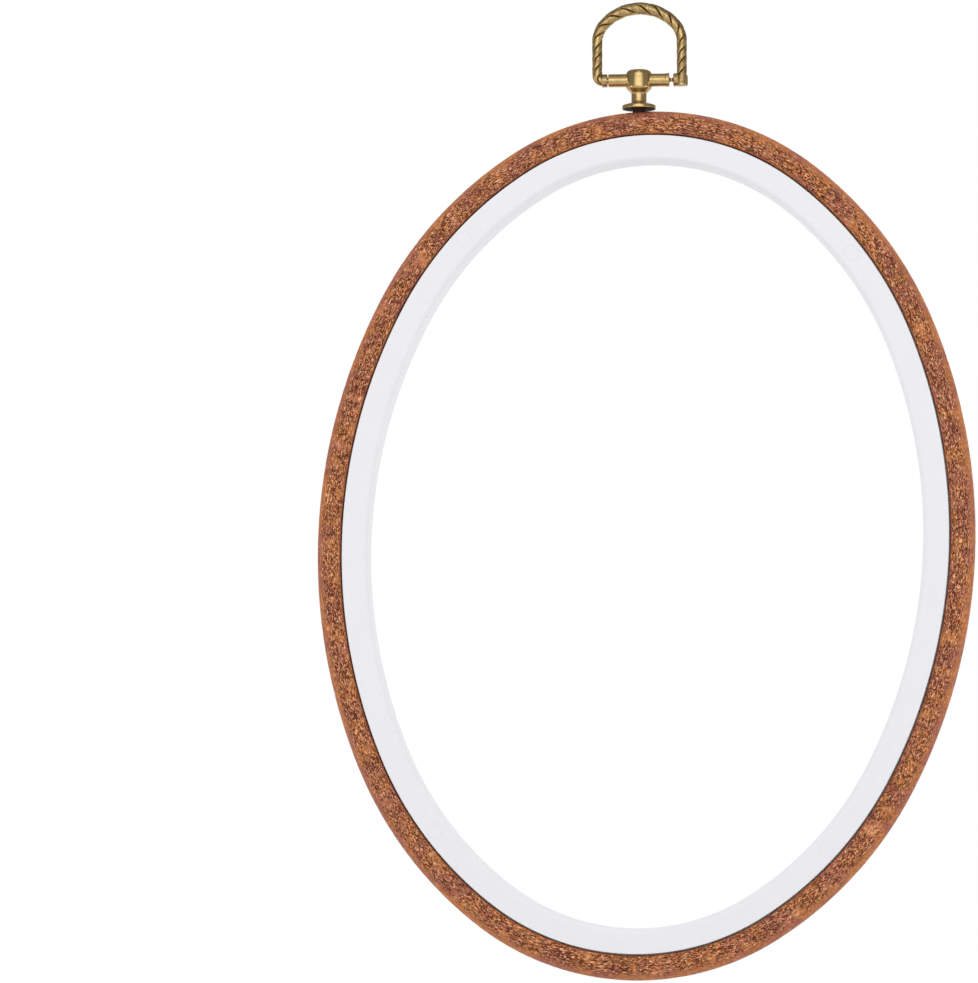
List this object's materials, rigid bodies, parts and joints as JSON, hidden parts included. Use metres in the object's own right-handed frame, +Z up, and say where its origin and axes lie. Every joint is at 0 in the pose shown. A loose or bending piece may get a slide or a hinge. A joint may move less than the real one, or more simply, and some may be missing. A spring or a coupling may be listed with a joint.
{
  "type": "embroidery hoop",
  "caption": "Oval embroidery hoop: rigid inner ring held in a flexible wood-look outer ring, with a brass post and rope-twist bail to hang it as a frame.",
  "frame": {"origin": "the inside top of the bail, where a nail or hook touches it, straight above the hanger post", "axes": "+X to the right seen from the front, +Y to the back and the wall, +Z up; the front faces -Y"},
  "size_m": [0.1542, 0.0092, 0.2302],
  "materials": {
    "wood_look_vinyl": "satin",
    "white_plastic": "satin",
    "antique_brass": "satin",
    "pin_brass": "satin",
    "zinc_plate": "gloss"
  },
  "bodies": {
    "bail": {"bail": "antique_brass", "hinge_pin": "pin_brass"},
    "hanger_post": {"hanger_post": "antique_brass", "cross_tube": "antique_brass", "hanger_screw": "zinc_plate", "screw_washer": "zinc_plate"},
    "outer_ring": {"outer_ring": "wood_look_vinyl"},
    "inner_ring": {"inner_ring": "white_plastic"}
  },
  "joints": [
    {"name": "bail_hinge", "type": "hinge", "parent": "bail", "child": "hanger_post", "pos_m": [0, 0, -0.0157], "axis": [1, 0, 0], "range_deg": [-110, 110]},
    {"name": "post_swivel", "type": "hinge", "parent": "hanger_post", "child": "outer_ring", "pos_m": [0, 0, -0.0233], "axis": [0, 0, 1], "range_deg": [-90, 90]},
    {"name": "inner_ring_release", "type": "slide", "parent": "outer_ring", "child": "inner_ring", "axis": [0, 1, 0], "range_m": [0, 0.01]}
  ]
}
